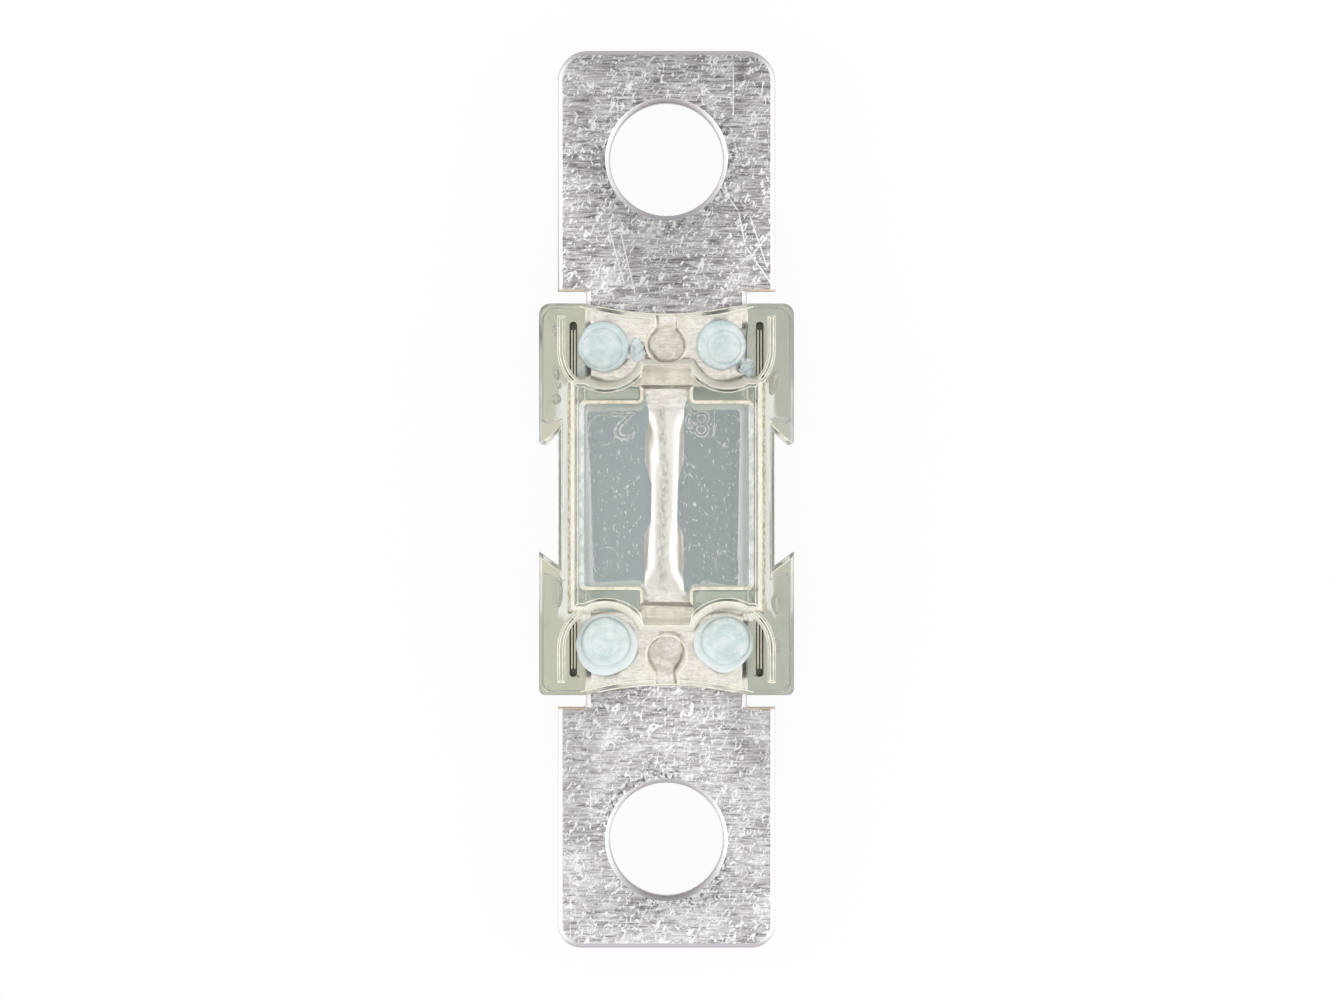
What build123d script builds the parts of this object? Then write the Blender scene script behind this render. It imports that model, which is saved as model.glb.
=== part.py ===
from build123d import *
import os
from math import asin, cos, radians, sin

# A bolt-down strip fuse: one stamped metal strip held between two moulded clear halves.
# The strip's two flat terminals each have a stud hole, and its middle is a narrow curled link.
# The base covers the link from above, the cover from below. Four posts of the cover pass
# through the strip and the base, and are melted over into heads on the base's face.
#
# Frame: X across the strip, Y along it, Z up through the heads.
# The origin is midway between the stud holes, on the strip's underside.
# All sizes are millimetres.

# Strip: terminals and necks
stud_spacing = 51.0  # between the centres of the two stud holes
stud_hole_d = 8.5
strip_t = 1.2
blade_w = 16.3
blade_end = 8.13  # from a stud hole's centre to the strip's end
shoulder_w = 2.12  # how far a terminal stands out beside its neck
shoulder_gap = 0.98  # between a terminal's shoulder and the moulding
upper_corner_r = 2.25  # corners of the +Y end
lower_corner_r = 1.75  # corners of the -Y end
neck_corner_r = 0.25
die_roll = 0.35  # soft edge that the punch leaves along the upper side

# Strip: fusible link
link_root_w = 4.05  # at the neck
link_root_l = 0.05  # length at that full width
link_root_taper = 1.7  # length over which the root narrows to the link
link_w = 3.05
link_t = 0.7
root_cover = 1.1  # how far the link's two roots reach into the moulding's end walls
link_flat = 1.28  # flat length next to each neck
link_curl = 2.0  # length over which the flat link curls into a gutter
link_bend_more = 0.375  # how much the gutter's outer radius exceeds half the root's width
link_rise = 0.25  # how far the gutter's crown stands above the strip
waist_w = 2.0
waist_up = 1.25  # how far the waist reaches towards +Y
waist_down = 1.6  # and towards -Y
upper_taper = 1.7  # length over which the link narrows to its waist from +Y
lower_taper = 0.9  # and from -Y
link_corner_r = 0.6  # where the link's sides change direction

# Widths of the moulding, from the neck outwards
joint_gap = 0.03  # between faces that lie on each other
side_gap = 0.05  # beside the strip's necks in their channel
cavity_side = 0.5  # from a neck's side to the cavity's wall
wall_t = 0.82
ledge_w = 0.7  # flat ledge beside the dome's foot
wing_w = 1.47  # how far a wing stands out from the middle
cover_inset = 0.4  # how much smaller than the base the cover is, all round

# Lengths of the moulding, from the middle outwards
chamber_shift = 0.3  # how far dome, cavity and posts sit towards +Y in the outline
cavity_l = 14.4
end_wall_t = 1.6
post_out = 2.3  # from the dome's end to the posts' line
post_end = 3.52  # from the posts' line to the moulding's end
wing_gap = 10.04  # between the inner ends of the wings
upper_hook_drop = 1.35  # how far the +Y wings' hooks reach into that gap
lower_hook_drop = 1.08  # and the -Y wings' hooks
cover_wing_back = 1.13  # how far the cover's wings stop short of the base's
cover_hook_drop = 0.45

# Corners of the outline
upper_wing_r = 0.85  # corners of the +Y wings
lower_wing_r = 0.5  # corners of the -Y wings
hook_r = 0.32
flange_edge = 0.25  # chamfer round both mouldings' flat edges

# Heights, from the strip's underside
base_top = 2.5  # floor round the heads
dome_h = 2.4
roof_t = 0.9
cover_flange_t = 1.6
plateau_h = 3.37
cover_floor_t = 1.0

# Base: dome and cavity
dome_draft = 14.0
dome_edge = 0.22
throat_in = 1.3  # how far the throats' sides lie inside the posts' centres
throat_back = 1.0  # from the posts' line back to the throat's end wall
throat_slope = 0.6
cavity_corner_r = 0.7
cavity_draft = 5.0
link_room = 0.12  # beside the link's root in its channel
mouth_depth = 0.8  # hollow of the curved edge over each neck
mouth_flare = 0.35
gate_d = 3.06  # round well left by the moulding gate
gate_in = 3.0  # from the moulding's end to the well's centre
gate_throat_w = 1.75
gate_depth = 0.3

# Posts, heads and the pockets round them
post_in = 1.53  # from a neck's side to the posts' centres
post_d = 2.6
post_hole_d = 2.9
pocket_r = 2.7  # foot of the dome's wall round each post
head_d = 4.1
head_t = 0.42
button_d = 3.5  # raised middle of a head
button_t = 0.2
head_edge = 0.13
dimple_r = 0.5
dimple_depth = 0.1

# Fence round each pocket, and the tongue in its slot
fence_t = 0.5
fence_r = 3.32
fence_h = 1.2
fence_end = 2.5  # how far the fence runs past its centre, towards the moulding's end
fence_sweep = 56.0  # degrees of arc between the straight fence and the dome
fence_edge = 0.14
slot_side = 2.45  # from the fence's centre out to the slot
slot_w = 0.57
slot_out = 2.15  # from the fence's centre towards the moulding's end
slot_in = 2.05  # from the fence's centre towards the link
tongue_w = 0.3
tongue_short = 0.55  # how far the tongue stops short of its slot's outer end
tongue_drop = 0.35  # how far its tip stays below the pocket floor

# Cover: hollow plateau and the marks of the ejector pins
plateau_ledge = 0.85  # flat ledge between the plateau's foot and the base's middle
plateau_corner_r = 1.4
plateau_draft = 8.0
plateau_edge = 0.4
ejector_d = 2.54
ejector_side = 1.45  # from the cavity's side walls to a mark's centre
ejector_end = 1.87  # from its end walls
ejector_depth = 0.06

# Places that follow from the sizes above
neck_w = blade_w - 2 * shoulder_w
neck_channel_w = neck_w + 2 * side_gap
cavity_w = neck_w + 2 * cavity_side
dome_w = cavity_w + 2 * wall_t
middle_w = dome_w + 2 * ledge_w
body_w = middle_w + 2 * wing_w
dome_l = cavity_l + 2 * end_wall_t
post_x = neck_w / 2 - post_in
post_y = dome_l / 2 + post_out
body_l = 2 * (post_y + post_end)
shoulder_y = body_l / 2 + shoulder_gap
strip_half_l = stud_spacing / 2 + blade_end
neck_end = cavity_l / 2 + root_cover
link_flat_end = neck_end - link_flat
gutter_end = link_flat_end - link_curl
link_top = strip_t + link_rise
link_bend_r = link_root_w / 2 + link_bend_more
dome_top = base_top + dome_h
roof_under = dome_top - roof_t
throat_w = 2 * (post_x - throat_in)
throat_end = post_y - throat_back
cover_top = -joint_gap
flange_under = cover_top - cover_flange_t
cover_bottom = flange_under - plateau_h
cavity_floor = cover_bottom + cover_floor_t
plateau_w = middle_w - 2 * plateau_ledge
plateau_l = dome_l
corners = [(sx, sy) for sx in (-1, 1) for sy in (-1, 1)]
post_places = [(sx * post_x, sy * post_y + chamber_shift) for sx, sy in corners]


def slab(sketch, low, high, taper=0.0):
    """A flat sketch raised from one height to another, leaning inwards by taper degrees."""
    return extrude(Pos(0, 0, low) * sketch, amount=high - low, taper=taper)


def hung_slab(sketch, high, low, taper=0.0):
    """The same, grown downwards."""
    return extrude(Pos(0, 0, high) * sketch, amount=high - low, dir=(0, 0, -1), taper=taper)


def at_both_ends(shape):
    """A shape and its copy turned half round, for the two ends of the fuse."""
    return shape + Rot(0, 0, 180) * shape


def corners_at(sketch, x, y):
    """The sketch's corners at (x, y) and (-x, y)."""
    return [v for v in sketch.vertices() if abs(abs(v.X) - x) < 0.01 and abs(v.Y - y) < 0.01]


def strip_end(corner_r):
    """One terminal with its neck, towards +Y, before the posts' notches."""
    blade_l = strip_half_l - shoulder_y
    outline = Pos(0, strip_half_l - blade_l) * Rectangle(blade_w, 2 * blade_l)
    outline = fillet(corners_at(outline, blade_w / 2, strip_half_l), corner_r)
    blade = slab(outline, 0, strip_t)
    blade = chamfer(blade.faces().sort_by(Axis.Z)[-1].edges(), die_roll)
    blade -= Pos(0, shoulder_y - blade_l, strip_t / 2) * Box(blade_w, 2 * blade_l, strip_t)
    neck_l = 2 * (shoulder_y - neck_end)
    neck = slab(Pos(0, shoulder_y) * Rectangle(neck_w, neck_l), 0, strip_t)
    sides = neck.faces().sort_by(Axis.Z)[-1].edges().filter_by(Axis.Y)
    end = blade + chamfer(sides, die_roll)
    inner = [e for e in end.edges().filter_by(Axis.Z)
             if abs(e.center().Y - shoulder_y) < 0.01 and abs(abs(e.center().X) - neck_w / 2) < 0.01]
    end = fillet(inner, neck_corner_r)
    hole = Pos(0, stud_spacing / 2, strip_t / 2) * Cylinder(stud_hole_d / 2, strip_t)
    end -= hole
    rim = [e for e in end.edges().filter_by(GeomType.CIRCLE)
           if abs(e.radius - stud_hole_d / 2) < 0.01 and e.center().Z > strip_t / 2]
    return chamfer(rim, die_roll)


def post_notches():
    """Open-sided notches in the necks, which let the cover's posts through."""
    notches = Sketch()
    notch_out = neck_w / 2 + side_gap - post_x
    for x, y in post_places:
        side = 1 if x > 0 else -1
        notches += Pos(x, y) * Circle(post_hole_d / 2)
        notches += Pos(x + side * notch_out / 2, y) * Rectangle(notch_out, post_hole_d)
    return slab(notches, -joint_gap, strip_t + joint_gap)


def flat_section(y, width):
    """The link's flat cross-section, standing across the strip at y."""
    plane = Plane(origin=(0, y, strip_t - link_t / 2), x_dir=(1, 0, 0), z_dir=(0, -1, 0))
    return plane * Rectangle(width, link_t)


def gutter_section(y, width):
    """The link's curled cross-section: two arcs round one centre, below the strip."""
    centre = link_top - link_bend_r
    inner_r = link_bend_r - link_t
    half = asin(width / 2 / link_bend_r)
    outer = ThreePointArc(
        (-link_bend_r * sin(half), centre + link_bend_r * cos(half)),
        (0, centre + link_bend_r),
        (link_bend_r * sin(half), centre + link_bend_r * cos(half)),
    )
    inner = ThreePointArc(
        (inner_r * sin(half), centre + inner_r * cos(half)),
        (0, centre + inner_r),
        (-inner_r * sin(half), centre + inner_r * cos(half)),
    )
    right = Line(outer @ 1, inner @ 0)
    left = Line(inner @ 1, outer @ 0)
    plane = Plane(origin=(0, y, 0), x_dir=(1, 0, 0), z_dir=(0, -1, 0))
    return plane * make_face([outer, right, inner, left])


def link_half():
    """The +Y half of the link at its full width: flat at the neck, then curled into the gutter."""
    flat = extrude(flat_section(neck_end, link_root_w), amount=link_flat, dir=(0, -1, 0))
    curl = loft([flat_section(link_flat_end, link_root_w), gutter_section(gutter_end, link_root_w)])
    gutter = extrude(gutter_section(gutter_end, link_root_w), amount=gutter_end, dir=(0, -1, 0))
    return flat + curl + gutter


def link_sides():
    """What is punched away beside the link: it narrows from its roots, and again to its waist."""
    root_y = neck_end - link_root_l
    link_y = root_y - link_root_taper
    right = [(link_root_w / 2, root_y), (link_w / 2, link_y),
             (link_w / 2, waist_up + upper_taper), (waist_w / 2, waist_up),
             (waist_w / 2, -waist_down), (link_w / 2, -waist_down - lower_taper),
             (link_w / 2, -link_y), (link_root_w / 2, -root_y)]
    outside = link_root_w
    cut = make_face(Polyline(*right, (outside, -root_y), (outside, root_y), close=True))
    for x, y in right[1:-1]:
        cut = fillet([v for v in cut.vertices() if abs(v.X - x) < 0.01 and abs(v.Y - y) < 0.01], link_corner_r)
    both = cut + mirror(cut, Plane.YZ)
    return slab(both, -link_bend_r, link_top + 1)


def make_fuse_strip():
    upper = strip_end(upper_corner_r)
    lower = Rot(0, 0, 180) * strip_end(lower_corner_r)
    link = at_both_ends(link_half()) - link_sides()
    return upper + lower + link - post_notches()


def wing_outline(half_w, half_l, half_mid_w, half_gap, upper_drop, lower_drop):
    """The moulding's plan: two wings on each side of a narrower middle, with hooked inner ends.
    The +Y wings' corners are rounder, and only their hooks are rounded."""
    upper_tip, lower_tip = half_gap - upper_drop, half_gap - lower_drop
    right = [(half_w, half_l), (half_w, upper_tip), (half_mid_w, half_gap),
             (half_mid_w, -half_gap), (half_w, -lower_tip), (half_w, -half_l)]
    left = [(-x, y) for x, y in reversed(right)]
    outline = make_face(Polyline(*right, *left, close=True))
    outline = fillet(corners_at(outline, half_w, half_l), upper_wing_r)
    outline = fillet(corners_at(outline, half_w, -half_l), lower_wing_r)
    return fillet(corners_at(outline, half_w, upper_tip), hook_r)


def dome_outline():
    """The dome's foot: a rectangle with a throat at each end, hollowed round the four posts."""
    outline = Pos(0, chamber_shift) * (Rectangle(dome_w, dome_l) + Rectangle(throat_w, 2 * throat_end))
    for x, y in post_places:
        outline -= Pos(x, y) * Circle(pocket_r)
    return outline


def make_dome():
    dome = slab(dome_outline(), base_top, dome_top, dome_draft)
    top = dome.faces().sort_by(Axis.Z)[-1]
    ends = [e for e in top.edges().filter_by(GeomType.LINE)
            if abs(e.tangent_at(0.5).X) > 0.99 and abs(e.center().Y - chamber_shift) > dome_l / 2]
    dome = chamfer(ends, throat_slope)
    rim = dome.faces().sort_by(Axis.Z)[-1].edges()
    return chamfer(rim, dome_edge)


def make_fences():
    """Thin upright ribs on the pockets' outer sides, bent round to meet the dome."""
    fences = Part()
    turn = radians(fence_sweep)
    for sx, sy in corners:
        x, y = sx * post_x, sy * post_y
        straight = Line((x + sx * fence_r, y + sy * fence_end), (x + sx * fence_r, y))
        bend = ThreePointArc(
            (x + sx * fence_r, y),
            (x + sx * fence_r * cos(turn / 2), y - sy * fence_r * sin(turn / 2)),
            (x + sx * fence_r * cos(turn), y - sy * fence_r * sin(turn)),
        )
        plan = trace(straight + bend, fence_t)
        fence = slab(plan, base_top, base_top + fence_h)
        fences += chamfer(fence.faces().sort_by(Axis.Z)[-1].edges(), fence_edge)
    return fences


def slot_sketch(width, out, inwards):
    """The plan of a slot or a tongue between each post and its fence, rounded at its ends."""
    sketch = Sketch()
    one = SlotOverall(out + inwards, width, rotation=90)
    for sx, sy in corners:
        sketch += Pos(sx * (post_x + slot_side), sy * (post_y + (out - inwards) / 2)) * one
    return sketch


def cavity_outline(width, length):
    room = Rectangle(width, length)
    room = fillet(room.vertices(), cavity_corner_r)
    room += Rectangle(link_root_w + 2 * link_room, 2 * neck_end)
    return Pos(0, chamber_shift) * room


def mouth_cutter():
    """A broad drum whose side hollows the base's +Y edge over the neck, flared at the top."""
    half = neck_channel_w / 2
    r = (half ** 2 + mouth_depth ** 2) / (2 * mouth_depth)
    plan = Circle(r)
    drum = slab(plan, -1, base_top) + slab(plan, base_top - mouth_flare, base_top + mouth_flare, -45)
    return Pos(0, body_l / 2 - mouth_depth + r, 0) * drum


def gate_recess():
    """A keyhole-shaped well in the base's face, open towards the +Y mouth."""
    gate_y = body_l / 2 - gate_in
    well = Pos(0, gate_y) * Circle(gate_d / 2)
    well += Pos(0, gate_y + gate_in / 2) * Rectangle(gate_throat_w, gate_in)
    return slab(well, base_top - gate_depth, base_top + 1)


def make_base():
    outline = wing_outline(body_w / 2, body_l / 2, middle_w / 2, wing_gap / 2,
                           upper_hook_drop, lower_hook_drop)
    base = slab(outline, 0, base_top)
    base = chamfer(base.faces().sort_by(Axis.Z)[-1].edges(), flange_edge)
    base -= at_both_ends(mouth_cutter())
    base += make_dome()
    base += make_fences()
    base -= at_both_ends(gate_recess())
    base -= slab(cavity_outline(cavity_w, cavity_l), -1, roof_under, cavity_draft)
    neck_channel = Rectangle(neck_channel_w, body_l + 1)
    base -= slab(neck_channel, -1, strip_t + joint_gap)
    posts = Sketch() + [Pos(x, y) * Circle(post_hole_d / 2) for x, y in post_places]
    base -= slab(posts, 0, base_top + 1)
    base -= slab(slot_sketch(slot_w, slot_out, slot_in), -1, base_top)
    return base


def post_and_head():
    """One post with its melted head, turned round its own axis, standing on the cover's face."""
    foot = cover_top - cover_flange_t / 2
    under = base_top + joint_gap
    rim = under + head_t
    top = rim + button_t
    profile = make_face(Polyline(
        (0, foot), (post_d / 2, foot), (post_d / 2, under),
        (head_d / 2, under), (head_d / 2, rim - head_edge), (head_d / 2 - head_edge, rim),
        (button_d / 2, rim), (button_d / 2 - head_edge, top), (dimple_r, top),
        (0, top - dimple_depth), close=True))
    return revolve(Plane.XZ * profile, Axis.Z)


def make_plateau():
    """The hollow box under the flange, with drafted walls; the fuse lies on its flat underside."""
    outline = fillet(Rectangle(plateau_w, plateau_l).vertices(), plateau_corner_r)
    outline = Pos(0, chamber_shift) * outline
    plateau = hung_slab(outline, flange_under, cover_bottom, plateau_draft)
    return chamfer(plateau.faces().sort_by(Axis.Z)[0].edges(), plateau_edge)


def make_cover():
    outline = wing_outline(body_w / 2 - cover_inset, body_l / 2 - cover_inset,
                           middle_w / 2 - cover_inset, wing_gap / 2 + cover_wing_back,
                           cover_hook_drop, cover_hook_drop)
    flange = hung_slab(outline, cover_top, flange_under)
    flange = chamfer(flange.faces().sort_by(Axis.Z)[0].edges(), flange_edge)
    cover = flange + make_plateau()
    cover -= hung_slab(cavity_outline(cavity_w, cavity_l), cover_top, cavity_floor, cavity_draft)
    mark_x, mark_y = cavity_w / 2 - ejector_side, cavity_l / 2 - ejector_end
    marks = Sketch() + [Pos(sx * mark_x, sy * mark_y + chamber_shift) * Circle(ejector_d / 2)
                        for sx, sy in corners]
    cover -= slab(marks, cavity_floor - ejector_depth, cavity_floor + ejector_depth)
    for x, y in post_places:
        cover += Pos(x, y) * post_and_head()
    tongues = slot_sketch(tongue_w, slot_out - tongue_short, slot_in - (slot_w - tongue_w) / 2)
    return cover + slab(tongues, cover_top - cover_flange_t / 2, base_top - tongue_drop)


parts = {
    "fuse_strip": make_fuse_strip(),
    "base": make_base(),
    "cover": make_cover(),
}
os.makedirs("parts", exist_ok=True)
for name, part in parts.items():
    export_step(part, f"parts/{name}.step")
    box = part.bounding_box()
    print(f"{name}: {len(part.solids())} solid, {part.volume:.1f} mm3,"
          f" z {box.min.Z:.2f} to {box.max.Z:.2f}")
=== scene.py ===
# %% [markdown]
# # A bolt-down strip fuse
#
# One stamped and plated metal strip runs through two clear mouldings. In the middle, inside the
# clear dome, the strip is a narrow curled link that melts when the current is too high. Four posts
# of the lower moulding pass through the strip and the upper moulding, and their ends are melted
# over into milky heads.
#
# The frame gives every solid at its real size. We load it first, and keep its box.

# %% Load the frame
import random
from math import atan2, cos, radians, sin

import bmesh
import bpy
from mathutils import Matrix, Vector, noise


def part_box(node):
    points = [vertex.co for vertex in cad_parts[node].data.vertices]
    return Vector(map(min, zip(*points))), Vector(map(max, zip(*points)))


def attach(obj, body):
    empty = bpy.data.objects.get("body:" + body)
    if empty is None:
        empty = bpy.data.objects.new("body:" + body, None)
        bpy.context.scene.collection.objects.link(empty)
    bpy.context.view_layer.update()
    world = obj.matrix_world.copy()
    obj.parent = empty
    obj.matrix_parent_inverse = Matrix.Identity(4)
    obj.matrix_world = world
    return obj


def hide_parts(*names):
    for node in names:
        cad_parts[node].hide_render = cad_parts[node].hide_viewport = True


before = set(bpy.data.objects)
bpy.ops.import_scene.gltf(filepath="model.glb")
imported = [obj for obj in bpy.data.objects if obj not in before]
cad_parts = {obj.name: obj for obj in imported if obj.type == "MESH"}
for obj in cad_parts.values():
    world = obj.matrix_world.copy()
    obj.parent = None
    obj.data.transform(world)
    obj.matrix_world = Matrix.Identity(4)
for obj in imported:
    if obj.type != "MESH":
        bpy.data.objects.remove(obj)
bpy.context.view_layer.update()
mm = 0.001
print("solids:", sorted(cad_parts))

# %% [markdown]
# ## Levels and places
#
# Later pieces sit on these levels. They are worked out from the boxes of the solids where a box
# shows them, and the others are the real sizes of the mouldings, written once. X runs across the
# strip, Y along it, and Z up through the melted heads. The chamber and the four posts lie a little
# off the middle, towards the upper terminal.

# %% Levels and places
base_high, cover_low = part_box("base")[1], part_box("cover")[0]

table_z = cover_low[2]
strip_top = 1.2 * mm
pocket_floor = 2.5 * mm
dome_top = base_high[2]
cavity_floor = cover_low[2] + 1.0 * mm
flange_chamfer, flange_edge = -1.38 * mm, -1.61 * mm
off_middle = 0.3 * mm
post_x, post_y = 4.5 * mm, 11.1 * mm
stud_y = 25.5 * mm
gate_y = 11.6 * mm
print("table at", round(table_z / mm, 2), "dome's top at", round(dome_top / mm, 2))

# %% [markdown]
# ## Helpers for modelling
#
# An operator works on whatever is selected, and the loaded solids come in selected. So every piece
# starts by clearing the selection. Faces are picked in code, by a question about their middle or
# their normal, which stays right when a size changes. A finished piece has its place in its mesh
# and its own origin at the world's. Its doubles are merged before its normals are made consistent,
# because a loose end cap could otherwise be turned the wrong way.


# %% Helpers for modelling
def clear_selection():
    bpy.ops.object.select_all(action="DESELECT")


def only(obj):
    """Selects one object and nothing else."""
    clear_selection()
    obj.select_set(True)
    bpy.context.view_layer.objects.active = obj


def edit(obj):
    only(obj)
    bpy.ops.object.mode_set(mode="EDIT")


def leave_edit():
    bpy.ops.object.mode_set(mode="OBJECT")


def pick_faces(obj, wanted):
    """In edit mode, selects just the faces whose centre and normal answer the question."""
    bpy.ops.mesh.select_mode(type="FACE")
    bpy.ops.mesh.select_all(action="DESELECT")
    mesh = bmesh.from_edit_mesh(obj.data)
    for face in mesh.faces:
        if wanted(face.calc_center_median(), face.normal):
            face.select_set(True)
    bmesh.update_edit_mesh(obj.data)


def keep_picked():
    """Deletes every face that isn't picked, and selects what is left."""
    bpy.ops.mesh.select_all(action="INVERT")
    bpy.ops.mesh.delete(type="FACE")
    bpy.ops.mesh.select_all(action="SELECT")


def apply_modifiers(obj):
    only(obj)
    for modifier in list(obj.modifiers):
        bpy.ops.object.modifier_apply(modifier=modifier.name)


def finish_piece(obj, name, material, smooth=35):
    """Puts the piece's place into its mesh, closes and smooths it, and hands it to the frame."""
    only(obj)
    obj.name = obj.data.name = name
    bpy.ops.object.transform_apply(location=True, rotation=True, scale=True)
    edit(obj)
    bpy.ops.mesh.select_all(action="SELECT")
    bpy.ops.mesh.remove_doubles(threshold=0.0005 * mm)
    bpy.ops.mesh.normals_make_consistent(inside=False)
    leave_edit()
    bpy.ops.object.shade_smooth_by_angle(angle=radians(smooth))
    obj.data.materials.clear()
    obj.data.materials.append(material)
    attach(obj, "root")


# %% [markdown]
# ## Helpers for materials
#
# Every surface here is a small graph of nodes. `add` makes one node and fills its sockets, with a
# number, a colour or the socket of another node, so that a graph reads from top to bottom. The
# patterns take Object coordinates, in metres, so a scale of 4000 means details of about a quarter
# of a millimetre.


# %% Helpers for materials
def fill(tree, sockets, values):
    for key, value in values.items():
        if isinstance(value, bpy.types.NodeSocket):
            tree.links.new(value, sockets[key])
        else:
            sockets[key].default_value = value


def add(tree, kind, values=None, **settings):
    """Adds a node, with its settings and what its sockets take."""
    made = tree.nodes.new("ShaderNode" + kind)
    for key, value in settings.items():
        setattr(made, key, value)
    fill(tree, made.inputs, values or {})
    return made


def calc(tree, operation, *values):
    return add(tree, "Math", dict(enumerate(values)), operation=operation).outputs[0]


def size_of(tree, value):
    """The value without its sign, which makes a pattern the same on both sides."""
    return calc(tree, "ABSOLUTE", value)


def between(tree, value, low, high, out_low=0.0, out_high=1.0):
    """Turns values from low to high into values from out_low to out_high, and stops there."""
    return add(tree, "MapRange", {0: value, 1: low, 2: high, 3: out_low, 4: out_high}).outputs[0]


def inside(tree, value, low, high, soft):
    """1 where the value lies between low and high, with soft edges."""
    middle, half = (low + high) / 2, (high - low) / 2
    away = size_of(tree, calc(tree, "SUBTRACT", value, middle))
    return between(tree, away, half + soft, half)


def both(tree, *masks):
    """1 where all the masks are 1."""
    mask = masks[0]
    for other in masks[1:]:
        mask = calc(tree, "MULTIPLY", mask, other)
    return mask


def blend(tree, amount, first, second):
    """Mixes two colours by an amount."""
    return add(tree, "Mix", {0: amount, 6: first, 7: second}, data_type="RGBA").outputs[2]


def places(tree):
    """The Object coordinates' X, Y and Z, and how steeply the surface stands as the normal's Z."""
    coordinates = add(tree, "TexCoord")
    x, y, z = add(tree, "SeparateXYZ", {0: coordinates.outputs["Object"]}).outputs
    facing = add(tree, "SeparateXYZ", {0: coordinates.outputs["Normal"]}).outputs["Z"]
    return x, y, z, facing


def grain(tree, scale, turn=0.0, shift=(0, 0, 0), detail=3.0, roughness=0.55, warp=0.0):
    """Noise between 0 and 1, on coordinates stretched along directions of the strip."""
    place = add(tree, "TexCoord").outputs["Object"]
    if turn or any(shift):
        place = add(tree, "Mapping", {"Vector": place, "Rotation": (0, 0, turn),
                                      "Location": shift}).outputs[0]
    place = add(tree, "VectorMath", {0: place, 1: scale}, operation="MULTIPLY").outputs[0]
    return add(tree, "TexNoise", {"Vector": place, "Scale": 1.0, "Detail": detail,
                                  "Roughness": roughness, "Distortion": warp}).outputs["Fac"]


def bump(tree, height, strength, depth):
    """A normal for a shader, from a height between 0 and 1 that stands for depth metres."""
    return add(tree, "Bump", {"Height": height, "Strength": strength, "Distance": depth}).outputs[0]


def without(tree, mask):
    """The opposite of a mask."""
    return calc(tree, "SUBTRACT", 1.0, mask)


def distance(tree, x, y, middle_y):
    """How far a point is from a place on the strip's middle line."""
    ends = {0: add(tree, "CombineXYZ", {0: x, 1: y}).outputs[0], 1: (0, middle_y, 0)}
    return add(tree, "VectorMath", ends, operation="DISTANCE").outputs["Value"]


def grey(value):
    return (value, value, value, 1)


def new_material(name):
    material = bpy.data.materials.new(name)
    material.use_nodes = True
    tree = material.node_tree
    return material, tree, tree.nodes["Principled BSDF"]


# %% [markdown]
# ## Camera
#
# The photograph looks straight down. Its two stud holes are 51 mm apart in life and 680.7 pixels
# apart in the picture, which gives the width that the frame covers at the strip. A long lens then
# sees that width from 280 mm above.

# %% Camera
photo_w, photo_h = 1333, 1000
stud_gap_px = 680.7
middle_px = (666.5, 499.3)
camera_height = 280 * mm
pixel = 2 * stud_y / stud_gap_px
frame_w = photo_w * pixel

bpy.ops.object.camera_add(location=((photo_w / 2 - middle_px[0]) * pixel,
                                    (middle_px[1] - photo_h / 2) * pixel,
                                    strip_top + camera_height))
camera = bpy.context.object
camera.name = "camera"
camera.data.lens = camera.data.sensor_width * camera_height / frame_w
camera.data.clip_start = 10 * mm
scene = bpy.context.scene
scene.camera = camera
scene.view_settings.view_transform = "Standard"
print("the frame is", round(frame_w / mm, 1), "mm wide, the lens", round(camera.data.lens, 1), "mm")


def at_px(x, y, z):
    """The place at height z that the photograph shows at a pixel."""
    nearer = 1 - (z - strip_top) / camera_height
    return ((x - middle_px[0]) * pixel * nearer, (middle_px[1] - y) * pixel * nearer, z)


# %% [markdown]
# ## Tent and lamps
#
# Small shiny things are photographed inside a white tent: light comes from all round, and a
# darker hole above is left for the camera. The flat metal mirrors that hole and looks mid grey.
# The photograph's rolled edges are white at the strip's two long sides and grey at its ends, so
# the tent's walls to the left and right are bright and the others are not. The lower terminal is a
# little brighter than the upper one, so the tent also brightens towards the bottom of the picture.
# Light that has come through the plastic shows the plain white background instead. Two weak soft
# lamps sharpen the glints.

# %% Tent and lamps
above, side_wall, end_tilt = 0.84, 0.32, 0.30
lamp_across, lamp_along, lamp_height, lamp_size, lamp_power = 0.45, 0.05, 0.35, 0.35, 0.5

world = bpy.data.worlds.new("light_tent")
scene.world = world
world.use_nodes = True
tree = world.node_tree
direction = add(tree, "SeparateXYZ", {0: add(tree, "TexCoord").outputs["Generated"]}).outputs
walls = between(tree, size_of(tree, direction["X"]), 0.10, 0.55, 0.0, side_wall)
tilt = between(tree, direction["Y"], -0.30, 0.30, end_tilt, -end_tilt)
light = calc(tree, "ADD", calc(tree, "ADD", walls, tilt), above)
seen_through = add(tree, "LightPath").outputs["Is Transmission Ray"]
light = blend(tree, seen_through, light, grey(1))
fill(tree, tree.nodes["Background"].inputs, {"Color": light, "Strength": 1.0})

for side in (-1, 1):
    bpy.ops.object.light_add(type="AREA", location=(side * lamp_across, lamp_along, lamp_height))
    lamp = bpy.context.object
    lamp.name = "softbox_left" if side < 0 else "softbox_right"
    lamp.data.size = lamp_size
    lamp.data.energy = lamp_power
    lamp.rotation_euler = (-lamp.location).to_track_quat("-Z", "Y").to_euler()
print("tent from", above, "above to", above + side_wall, "at its sides")
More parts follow.
